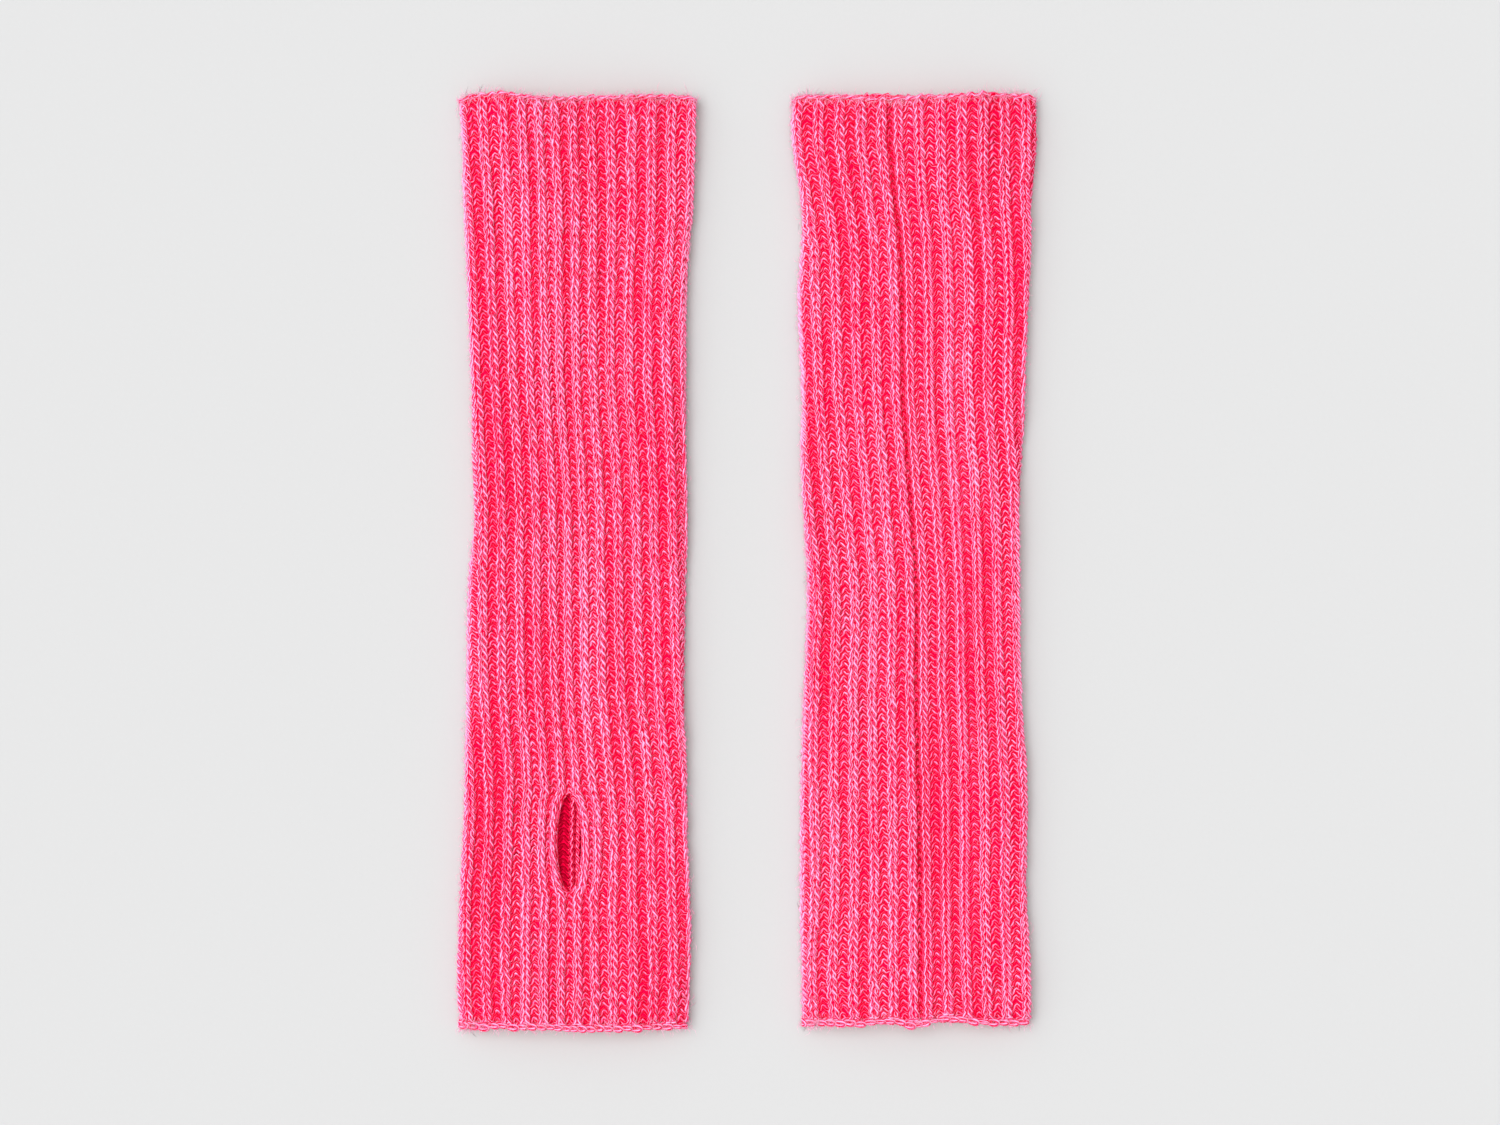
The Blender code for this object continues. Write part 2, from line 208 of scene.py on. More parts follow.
# The cord along the arm end
CAST_ON_SAMPLES = 8  # in each rib
CAST_ON_IN = 1.3
CAST_ON_RISE = -0.6
CAST_ON_CREST = 1.1
CAST_ON_RADIUS = 0.95
CAST_ON_SCALLOP = 0.5  # how far it stands out at each stitch
CAST_ON_UNEVEN = (0.3, 0.2)  # along the warmer and outwards
CAST_ON_FULLNESS = (0.9, 1.1)  # between the stitches and on them
CAST_ON_DEPTHS = (0.85, 1.2)  # painted light: between the stitches and on them

# The slit's edge: an upper and a lower cord
LIP_STEP = 1.4
LIP_RISES = (-0.7, -1.7)
LIP_OUTS = (0.05, 0.02)  # how far out from the slit, in ribs
LIP_RADIUS = 0.8
LIP_PAST_SLIT = 0.6
LIP_WAVE = (0.012, 0.12)  # across in ribs, and outwards, once in each course
LIP_UNEVEN = 0.06

# The inner face that shows through the slit
INNER_CREST = -11.14  # the panel place of the crest that shows there
INNER_RISE = -2.8
INNER_SWING = 1.1
INNER_PAST_SLIT = 8.0
INNER_UNEVEN = (0.12, 0.05)  # along the warmer and outwards
INNER_DEPTHS = (-0.95, 0.7)  # painted shade: darker at the back than in front

# Loose fibres
FIBRES = 9500
TRIED_FOR_EACH = 3  # places tried for each fibre
FUZZY_FOLD_TO = -4.7  # the left fold is tried more often, from here outwards
END_FUZZ = (0.4, 2.5)  # and so are both ends, this far in
KEPT_ON_TOP, KEPT_AT_ENDS = 0.12, 0.8  # shares of the places that are kept
BARE_AT_SLIT = 0.3  # in ribs
FIBRE_ROOT = -0.2  # from the rib's surface
FIBRE_LENGTH = 2.5
FIBRE_LENGTHS_EVEN = 4.0  # the higher, the more alike the lengths are
FIBRE_RADIUS = 0.08  # a wisp of a few fibres
FIBRE_TURN = 0.6  # in radians from the way of the ribs
FIBRE_LEANS = (0.15, 0.75)  # how steeply they stand out
FIBRE_BEND = 0.22  # as a share of the length
FIBRE_DROOP = 0.1
LOWEST_FIBRE = 0.2

# The cloth's ground behind the yarn
GROUND_VALLEY = -1.15
GROUND_RISE = 1.3
GROUND_INNER = -2.6
GROUND_INNER_RISE = 0.6
GROUND_COLUMNS_A_RIB = 4
GROUND_ROW = 6.0
GROUND_END_IN = 0.8  # it ends under the edge chain and the cast-on cord


def smooth_step(share):
    """0 below 0, 1 above 1, and a cubic with level ends between."""
    share = np.clip(share, 0.0, 1.0)
    return share * share * (3.0 - 2.0 * share)


def crest_share(panel):
    """0 in the valleys and 1 on the crests of the ribs: a cosine."""
    return 0.5 - 0.5 * np.cos(2 * math.pi * panel)


def smooth_curve(at, places, values):
    """A curve through the values that has no corners: a cubic between neighbours, whose slope at
    each one is the slope between the two beside it."""
    slopes = np.gradient(values, places)
    at = np.clip(at, places[0], places[-1])
    after = np.clip(np.searchsorted(places, at, side="right"), 1, len(places) - 1)
    before = after - 1
    span = places[after] - places[before]
    t = (at - places[before]) / span
    return (
        (2 * t**3 - 3 * t**2 + 1) * values[before]
        + (t**3 - 2 * t**2 + t) * span * slopes[before]
        + (3 * t**2 - 2 * t**3) * values[after]
        + (t**3 - t**2) * span * slopes[after]
    )


class Warmer:
    """One warmer's place and sizes, at any distance up from its hand end.

    pitches are the ribs' pitches beside the top's middle line and further out. under_shift is how
    far the middle line of the under side lies beside the place straight below the top's.
    """

    def __init__(
        self, name, middle_x, hand_end_y, slit_is_on_top, pitches, under_shift, sections, waves
    ):
        self.name = name
        self.middle_x = middle_x
        self.hand_end_y = hand_end_y
        self.slit_is_on_top = slit_is_on_top
        self.under_shift = under_shift
        self.length = float(sections[-1][0])
        self.sections = np.array(sections, float)
        self.waves = np.array(waves, float)
        near, far = pitches
        step = np.minimum(np.arange(HALF_PANEL + 2) / RIBS_TO_FAR_PITCH, 1.0)
        self.rib_ends = np.concatenate([[0.0], np.cumsum(near + (far - near) * step)])

    def at(self, name, up):
        """A column of the sections' table at these distances up."""
        values = self.sections[:, SECTION_COLUMNS.index(name)]
        return smooth_curve(up, self.sections[:, 0], values)

    def wave(self, name, across):
        """A column of the ends' waviness, across the warmer from 0 at its left to 1."""
        values = self.waves[:, WAVE_COLUMNS.index(name)]
        return smooth_curve(across, self.waves[:, 0], values)

    def gape(self, x, up):
        """How far the upper side lifts off the under side near a mouth."""
        inwards = np.minimum(up, self.length - up)
        along = 1.0 - smooth_step((inwards - GAPE_FLAT) / (GAPE_REACH - GAPE_FLAT))
        left = self.at("left", up)
        right = self.at("right", up)
        level = (right - left) / 2 - FOLD_DEPTH
        out = (np.abs(x - (left + right) / 2) - GAPE_HALF_WIDTH) / (level - GAPE_HALF_WIDTH)
        return GAPE_RISE * along * (1.0 - smooth_step(out))

    def slit_half_width(self, up):
        """Widest in the slit's middle: a root of a sine, so its ends are round."""
        share = np.clip((up - SLIT_START) / (SLIT_END - SLIT_START), 0.0, 1.0)
        return SLIT_HALF_WIDTH * np.sin(math.pi * share) ** SLIT_ROUNDNESS

    def on_tube(self, panel, up, rise):
        """Where places of the panel lie on the tube, and which way is outwards there.

        Seen along the warmer, the tube's section is level on top, turns down half an ellipse at
        each fold and is level again below. The distance round it from the top's middle line is
        the ribs' own spacing on the top. Below, the ribs that are left share what is left of the
        way round. rise is the height above the valleys, measured outwards.
        """
        panel, up, rise = np.broadcast_arrays(panel, up, rise)
        side = np.where(np.signbit(panel), -1.0, 1.0)
        ribs = np.abs(panel)
        if not self.slit_is_on_top:
            side = -side
            ribs = HALF_PANEL - ribs
        left = self.at("left", up)
        right = self.at("right", up)
        line = self.at("line", up)
        reach = np.where(side > 0, right - line, line - left)
        level = reach - FOLD_DEPTH
        level_below = right - left - reach + side * -self.under_shift - FOLD_DEPTH

        half_depth = FOLD_DEPTH - FOLD_INSET
        half_height = (TOP_VALLEY - BOTTOM_VALLEY) / 2
        bend = np.linspace(0.0, math.pi, BEND_SAMPLES)
        steps = np.hypot(
            np.diff(half_depth * np.sin(bend)), np.diff(half_height * np.cos(bend))
        )
        fold_run = np.concatenate([[0.0], np.cumsum(steps)])
        whole = level + fold_run[-1] + level_below

        scale = (right - left) / REFERENCE_WIDTH
        numbers = np.arange(len(self.rib_ends))
        level_ribs = np.interp(level / scale, self.rib_ends, numbers)
        on_top = np.interp(ribs, numbers, self.rib_ends) * scale
        share = (ribs - level_ribs) / (HALF_PANEL - level_ribs)
        run = np.where(ribs < level_ribs, on_top, level + share * (whole - level))

        half_width = self.slit_half_width(up)
        from_slit = run if self.slit_is_on_top else whole - run
        from_seam = whole - run if self.slit_is_on_top else run
        pushed = half_width * np.exp(-from_slit / SLIT_SPREAD)
        run = run + (pushed if self.slit_is_on_top else -pushed)
        near_seam = from_seam / SEAM_PULL_AT
        pulled = SEAM_PULL * near_seam * np.exp(1.0 - near_seam)
        run = run + (pulled if self.slit_is_on_top else -pulled)
        rise = rise - SEAM_GROOVE_DEPTH * np.exp(-((from_seam / SEAM_GROOVE_WIDTH) ** 2))

        turned = np.interp(run - level, fold_run, bend)
        past_fold = np.maximum(run - level - fold_run[-1], 0.0)
        x = np.minimum(run, level) + half_depth * np.sin(turned) - past_fold
        z = BOTTOM_VALLEY + half_height * (1.0 + np.cos(turned))
        out_x = np.sin(turned) / half_depth
        out_z = np.cos(turned) / half_height
        size = np.hypot(out_x, out_z)
        out_x, out_z = side * out_x / size, out_z / size
        x = line + side * x
        upper = (1.0 + np.cos(turned)) / 2
        z = z + upper * self.gape(x, up)

        near_hand = 1.0 - smooth_step(up / WAVE_REACH)
        near_arm = 1.0 - smooth_step((self.length - up) / WAVE_REACH)
        across = (x - left) / (right - left)
        hand = upper * self.wave("hand_upper", across)
        hand = hand + (1.0 - upper) * self.wave("hand_under", across)
        arm = upper * self.wave("arm_upper", across)
        arm = arm + (1.0 - upper) * self.wave("arm_under", across)
        from_middle = np.abs(2.0 * across - 1.0)
        corner = smooth_step((from_middle - CORNER_FROM) / (1.0 - CORNER_FROM))
        y = up - hand * near_hand + (arm - CORNER_DROP * corner) * near_arm

        rise = rise * (UNDER_SHARE + (1.0 - UNDER_SHARE) * upper)
        place = np.stack(
            [self.middle_x + x + rise * out_x, self.hand_end_y + y, z + rise * out_z], axis=-1
        )
        return place, np.stack([out_x, np.zeros_like(out_x), out_z], axis=-1)


def unit(vectors):
    """The vectors at length 1."""
    return vectors / np.linalg.norm(vectors, axis=-1, keepdims=True)


def show(name, points, faces, material, layers=None):
    """A mesh piece that rides on the root body.

    points are in millimetres. faces is a list of arrays of vertex numbers, each for faces with
    one number of corners. layers gives values for each vertex, or a UV pair for each corner.
    """
    corners = np.concatenate([group.ravel() for group in faces])
    sizes = np.concatenate([np.full(len(group), group.shape[1]) for group in faces])
    used, corners = np.unique(corners, return_inverse=True)
    mesh = bpy.data.meshes.new(name)
    mesh.vertices.add(len(used))
    mesh.vertices.foreach_set("co", (points[used] * MM).astype(np.float32).ravel())
    mesh.loops.add(len(corners))
    mesh.loops.foreach_set("vertex_index", corners.astype(np.int32).ravel())
    mesh.polygons.add(len(sizes))
    starts = np.concatenate([[0], np.cumsum(sizes)[:-1]])
    mesh.polygons.foreach_set("loop_start", starts.astype(np.int32))
    mesh.polygons.foreach_set("loop_total", sizes.astype(np.int32))
    mesh.update(calc_edges=True)
    for layer, values in (layers or {}).items():
        if values.ndim == 1:
            data = mesh.attributes.new(layer, "FLOAT", "POINT").data
            data.foreach_set("value", values[used].astype(np.float32))
        else:
            data = mesh.uv_layers.new(name=layer).data
            data.foreach_set("uv", values.astype(np.float32).ravel())
    mesh.shade_smooth()
    mesh.materials.append(material)
    piece = bpy.data.objects.new(name, mesh)
    bpy.context.scene.collection.objects.link(piece)
    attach(piece, "root")
    return piece


def yarn(name, place, outward, radius, depth, material, closed=True, index=None, skip=None):
    """A piece made of strands of yarn, each a tube round a row of places.

    Each place gets a ring of points at the yarn's radius, square to the strand and counted from
    its inner side. No strand lies below the table, which is at height 0. closed strands run back
    into their start, and others get a cap at each end.
    index can give two neighbouring places one ring, and skip leaves out the faces after a place.
    """
    count, samples = place.shape[:2]
    lifted = np.maximum(place[..., 2], radius)
    place = np.concatenate([place[..., :2], lifted[..., None]], axis=-1)
    if closed:
        ahead, behind = np.roll(place, -1, axis=1), np.roll(place, 1, axis=1)
    else:
        ahead = np.concatenate([place[:, 1:], place[:, -1:]], axis=1)
        behind = np.concatenate([place[:, :1], place[:, :-1]], axis=1)
    along = unit(ahead - behind)
    first = unit(outward - along * np.sum(outward * along, axis=-1, keepdims=True))
    second = np.cross(along, first)
    angle = math.pi + 2 * math.pi * np.arange(YARN_SIDES) / YARN_SIDES
    ring = place[:, :, None] + radius[:, :, None, None] * (
        np.cos(angle)[:, None] * first[:, :, None] + np.sin(angle)[:, None] * second[:, :, None]
    )
    # Painted shade: the colour is deeper at the strand's sides
    depth = depth[:, :, None] + ROUND_SHADE * np.cos(angle)
    run = np.cumsum(np.linalg.norm(place - behind, axis=-1), axis=1)
    run_end = run + np.linalg.norm(ahead - place, axis=-1)

    if index is None:
        index = np.arange(count * samples).reshape(count, samples)
    after = np.roll(index, -1, axis=1)
    around = np.arange(YARN_SIDES)
    a = index[:, :, None] * YARN_SIDES + around
    b = after[:, :, None] * YARN_SIDES + around
    quads = np.stack([a, b, np.roll(b, -1, axis=2), np.roll(a, -1, axis=2)], axis=-1)
    here, there, turn = np.broadcast_arrays(
        run[:, :, None], run_end[:, :, None], around / YARN_SIDES
    )
    more = turn + 1.0 / YARN_SIDES
    corners = ((here, turn), (there, turn), (there, more), (here, more))
    uv = np.stack([np.stack(corner, axis=-1) for corner in corners], axis=-2)
    caps = []
    if not closed:
        skip = samples - 1
        caps = [(slice(None), 0, 1), (slice(None), samples - 1, -1)]
    elif skip is not None:
        cut = index[:, skip] != index[:, skip + 1]
        caps = [(cut, skip, -1), (cut, skip + 1, 1)]
    if skip is not None:
        quads = np.delete(quads, skip, axis=1)
        uv = np.delete(uv, skip, axis=1)
    ends = [a[rows, column][:, ::-turned] for rows, column, turned in caps]
    faces = [quads.reshape(-1, 4), *ends]
    uv = np.concatenate([uv.reshape(-1, 2), np.zeros((sum(end.size for end in ends), 2))])
    layers = {"along_yarn": uv, "depth": depth.reshape(-1)}
    return show(name, ring.reshape(-1, 3), faces, material, layers)


# Materials


def linear(colour):
    """An sRGB hex colour as linear RGBA."""
    parts = [int(colour[i : i + 2], 16) / 255 for i in (1, 3, 5)]
    return [p / 12.92 if p <= 0.04045 else ((p + 0.055) / 1.055) ** 2.4 for p in parts] + [1.0]


def feed(tree, target, inputs):
    """Gives sockets, by name or number, a value or another node's output."""
    for socket, value in inputs.items():
        if isinstance(value, bpy.types.NodeSocket):
            tree.links.new(value, target.inputs[socket])
        else:
            target.inputs[socket].default_value = value


def node(tree, kind, inputs=None, **settings):
    """Adds a node with its settings and inputs."""
    new = tree.nodes.new(kind)
    for name, value in settings.items():
        setattr(new, name, value)
    feed(tree, new, inputs or {})
    return new


def ramp(tree, factor, stops):
    """A colour ramp through (place, colour) stops."""
    new = node(tree, "ShaderNodeValToRGB", {"Fac": factor})
    elements = new.color_ramp.elements
    while len(elements) < len(stops):
        elements.new(0.5)
    for element, (place, colour) in zip(elements, stops, strict=True):
        element.position = place
        element.color = linear(colour)
    return new.outputs["Color"]


def new_material(name):
    """A material, its node tree and its shader."""
    material = bpy.data.materials.new(name)
    material.use_nodes = True
    tree = material.node_tree
    return material, tree, tree.nodes["Principled BSDF"]


def wool_yarn(name, haze, deepest):
    """Brushed wool yarn in a bright pink dye: plies twisted together, matt, with a sheen from a
    haze of fibre ends. Its colour is painted palest on the crests and deep red where stitch meets
    stitch, as painted light and shade. haze is how strongly the fibre ends catch the light: none
    do inside the tube. deepest is the painted shade in the gaps, a purer red for light passed
    through the wool."""
    material, tree, shader = new_material(name)
    depth = node(tree, "ShaderNodeAttribute", attribute_name="depth").outputs["Fac"]
    lay = node(tree, "ShaderNodeUVMap", uv_map="along_yarn").outputs["UV"]
    place = node(tree, "ShaderNodeTexCoord").outputs["Object"]

    # The plies: a band for each. lay counts millimetres along the yarn and turns round it, and
    # a diagonal wave repeats wherever the sum of its coordinates has grown by 2 pi / 10.
    period = 2 * math.pi / 10
    bands = (period / PLY_STEP, period * PLIES, 0.0)
    wound = node(tree, "ShaderNodeMapping", {"Vector": lay, "Scale": bands}).outputs["Vector"]
    plies = node(
        tree,
        "ShaderNodeTexWave",
        {"Vector": wound, "Scale": 1.0, "Distortion": 1.2, "Detail": 2.0, "Detail Scale": 2.0},
        bands_direction="DIAGONAL",
    ).outputs["Fac"]
    # Fibres: long thin streaks
    streak = (1.0 / STREAK_LENGTH, STREAKS_ROUND, 1.0)
    drawn = node(tree, "ShaderNodeMapping", {"Vector": lay, "Scale": streak}).outputs["Vector"]
    streaks = node(
        tree, "ShaderNodeTexNoise", {"Vector": drawn, "Scale": 1.0, "Detail": 3.0}
    ).outputs["Fac"]
    dye = node(
        tree, "ShaderNodeTexNoise", {"Vector": place, "Scale": DYE_SCALE, "Detail": 2.0}
    ).outputs["Fac"]

    relief = node(
        tree, "ShaderNodeMath", {0: plies, 1: PLY_SHARE, 2: streaks}, operation="MULTIPLY_ADD"
    ).outputs[0]
    mottle = node(
        tree, "ShaderNodeMath", {0: dye, 1: DYE_SHARE, 2: relief}, operation="MULTIPLY_ADD"
    ).outputs[0]
    uneven = node(
        tree,
        "ShaderNodeMath",
        {0: mottle, 1: MOTTLE, 2: -MOTTLE * MOTTLE_MEAN},  # so that it lies about 0
        operation="MULTIPLY_ADD",
    ).outputs[0]
    height = node(
        tree,
        "ShaderNodeMath",
        {0: depth, 1: DEPTH_SHARE, 2: uneven},
        operation="MULTIPLY_ADD",
        use_clamp=True,
    ).outputs[0]
    # Painted light and shade: the yarn's depth moves the colour from the deep red of the gaps to
    # the pale pink of the crests, on top of the plies, streaks and dye
    colour = ramp(
        tree,
        height,
        [
            (0.0, deepest),
            (0.12, "#f00038"),
            (0.3, "#f81e56"),
            (0.6, "#ff5486"),
            (0.9, "#ff86b4"),
            (1.0, "#ffa8d0"),
        ],
    )
    bump = node(
        tree, "ShaderNodeBump", {"Strength": 0.8, "Distance": YARN_RELIEF, "Height": relief}
    )
    look = {
        "Base Color": colour,
        "Normal": bump.outputs["Normal"],
        "Roughness": 0.9,
        "IOR": 1.55,
        "Specular IOR Level": 0.03,
        "Sheen Weight": haze,
        "Sheen Roughness": 0.25,
        "Sheen Tint": linear("#ffc0e8"),
    }
    feed(tree, shader, look)
    return material


def wool_fibre():
    """Loose fibre ends of the same wool, so fine that they look pale."""
    material, tree, shader = new_material("loose_wool_fibre")
    place = node(tree, "ShaderNodeTexCoord").outputs["Object"]
    dye = node(
        tree, "ShaderNodeTexNoise", {"Vector": place, "Scale": FIBRE_DYE_SCALE, "Detail": 1.0}
    ).outputs["Fac"]
    look = {
        "Base Color": ramp(tree, dye, [(0.3, "#ff80b0"), (0.7, "#ffc0e0")]),
        "Roughness": 0.7,
        "IOR": 1.55,
        "Sheen Weight": 0.5,
        "Sheen Tint": linear("#ffd0e8"),
    }
    feed(tree, shader, look)
    return material


def wool_ground():
    """The felted inside of the same knit, which shows only between the stitches. Its colour is the
    deep red of the yarn's gaps: painted shade."""
    material, tree, shader = new_material("wool_knit_ground")
    place = node(tree, "ShaderNodeTexCoord").outputs["Object"]
    felt = node(
        tree, "ShaderNodeTexNoise", {"Vector": place, "Scale": FELT_SCALE, "Detail": 3.0}
    ).outputs["Fac"]
    colour = ramp(tree, felt, [(0.3, "#f0003c"), (0.7, "#fa0448")])
    bump = node(
        tree, "ShaderNodeBump", {"Strength": 0.6, "Distance": FELT_RELIEF, "Height": felt}
    )
    look = {
        "Base Color": colour,
        "Normal": bump.outputs["Normal"],
        "Roughness": 0.95,
        "IOR": 1.55,
        "Specular IOR Level": 0.04,
    }
    feed(tree, shader, look)
    return material


def painted_board():
    """A matt painted board in a pale neutral grey."""
    material, tree, shader = new_material("matt_painted_board")
    place = node(tree, "ShaderNodeTexCoord").outputs["Object"]
    grain = node(
        tree, "ShaderNodeTexNoise", {"Vector": place, "Scale": BOARD_SCALE, "Detail": 2.0}
    ).outputs["Fac"]
    look = {
        "Base Color": ramp(tree, grain, [(0.0, "#bababa"), (1.0, "#bcbcbc")]),
        "Roughness": 0.95,
        "Specular IOR Level": 0.2,
    }
    feed(tree, shader, look)
    return material


# The cloth's ground


def ground_shell(warmer, material):
    """The thin shell behind the stitches.

    It is a grid of panel places, once outside and once inside. The outside follows the ribs: a
    cosine, highest on the crests. The inside is lowest behind the valleys by the same cosine.
    The column at the slit is there twice, for its two lips, and both are one column wherever the
    slit is closed.
    """
    half = np.linspace(0.0, HALF_PANEL, HALF_PANEL * GROUND_COLUMNS_A_RIB + 1)
    panel = np.concatenate([-half[::-1], half[:-1]])  # both halves, without the seam twice
    centre = len(half) - 1
    rows = int(round(warmer.length / GROUND_ROW))
    stops = np.linspace(GROUND_END_IN, warmer.length - GROUND_END_IN, rows + 1)
    up = np.sort(np.concatenate([stops, [SLIT_START, SLIT_END]]))[:, None]
    crest = crest_share(panel)
    outer, _ = warmer.on_tube(panel, up, GROUND_VALLEY + GROUND_RISE * crest)
    inner, _ = warmer.on_tube(panel, up, GROUND_INNER + GROUND_INNER_RISE * crest)

    count = outer.shape[0] * outer.shape[1]
    index = np.arange(count).reshape(outer.shape[:2])
    is_open = (up[:, 0] > SLIT_START + TINY) & (up[:, 0] < SLIT_END - TINY)
    index[~is_open, centre + 1] = index[~is_open, centre]
    quads = quads_between(index, skip=centre)
    inside = quads[:, ::-1] + count

    def edge(a, b, turn):
        """Quads that join the outside to the inside, between vertices a and their neighbours b."""
        return np.stack([a, b, b + count, a + count], axis=1)[:, ::turn]

    mouths = []
    for row, turn in ((0, -1), (-1, 1)):
        ring = index[row][np.arange(len(panel)) != centre + 1]
        mouths.append(edge(ring, np.roll(ring, -1), turn))
    first = np.flatnonzero(is_open)[0] - 1
    last = np.flatnonzero(is_open)[-1] + 1
    lips = []
    for column, turn in ((centre, 1), (centre + 1, -1)):
        line = index[first : last + 1, column]
        lips.append(edge(line[:-1], line[1:], turn))
    points = np.concatenate([outer.reshape(-1, 3), inner.reshape(-1, 3)])
    return show(f"{warmer.name}_ground", points, [quads, inside, *mouths, *lips], material)


def quads_between(index, skip):
    """Quads between neighbours of a grid of vertex numbers that closes on itself across, without
    the ones after the column called skip."""
    right = np.roll(index, -1, axis=1)
    quads = np.stack([index[:-1], right[:-1], right[1:], index[1:]], axis=-1)
    quads = np.delete(quads, skip, axis=1)
    return quads.reshape(-1, 4)


# The stitches


def course_samples(warmer):
    """The places along one course at which its yarn is worked out.

    Gives, for each, the number of its wale, counted in half ribs from the slit, its share across
    that wale, from -1 to 1, and whether the wale is a crest. Wales that show have more places.
    """
    wales, shares = [], []
    for number in range(-2 * HALF_PANEL, 2 * HALF_PANEL + 1):
        on_left = (number < 0) == warmer.slit_is_on_top
        from_top = abs(number) / 2
        if not warmer.slit_is_on_top:
            from_top = HALF_PANEL - from_top
        shows = from_top < TOP_RIBS[0 if on_left else 1]
        if number % 2:
            count = FINE_CREST if shows else PLAIN_CREST
        else:
            count = FINE_VALLEY if shows else PLAIN_VALLEY
        share = np.linspace(-1.0, 1.0, count + 1)[:-1]
        if number == -2 * HALF_PANEL:
            share = share[share >= 0.0]
        if number == 2 * HALF_PANEL:
            share = share[share < 0.0]
        if number == 0:
            share = np.insert(share, np.searchsorted(share, 0.0), -0.0)
        wales.append(np.full(len(share), number))
        shares.append(share)
    wales, shares = np.concatenate(wales), np.concatenate(shares)
    return wales, shares, wales % 2 == 1


def soft_noise(rng, rows, columns, row_step, column_step):
    """Uneven values that change smoothly: random ones on a coarse grid, joined by cosines."""
    coarse = rng.normal(size=(rows // row_step + 3, columns // column_step + 3))
    at_row = np.arange(rows) / row_step
    at_column = np.arange(columns) / column_step
    row, column = at_row.astype(int), at_column.astype(int)
    down = smooth_step(at_row - row)[:, None]
    along = smooth_step(at_column - column)[None, :]
    top = coarse[row][:, column] * (1 - along) + coarse[row][:, column + 1] * along
    bottom = coarse[row + 1][:, column] * (1 - along) + coarse[row + 1][:, column + 1] * along
    return top * (1 - down) + bottom * down


def stitch_path(on_crest, share, arch):
    """Where the yarn lies in its wale: how far across it in ribs, and how far down the knitting.

    Across a crest stitch, with t from -1 to 1, its place across is t + slant sin(2 pi t) half
    widths, and its place down is height cos(pi t), so its feet are up and its head is down.
    Across a valley the yarn arches from foot to foot: half a turn of a cosine up the warmer.
    """
    across = np.where(
        on_crest,
        KNIT_SHARE * (share + CREST_SLANT * np.sin(2 * math.pi * share)),
        (0.5 - KNIT_SHARE) * share,
    )
    bell = 0.5 + 0.5 * np.cos(math.pi * share)
    down = np.where(
        on_crest, LOOP_HALF_HEIGHT * np.cos(math.pi * share), -LOOP_HALF_HEIGHT - arch * bell
    )
    return across, down, bell


def unevenness(rng, rows, wales, kind):
    """A value for each stitch: a random part, and a soft part that runs over several stitches."""
    single, soft, row_step, wale_step = kind
    alone = single * rng.normal(size=(rows, wales))
    return alone + soft * soft_noise(rng, rows, wales, row_step, wale_step)


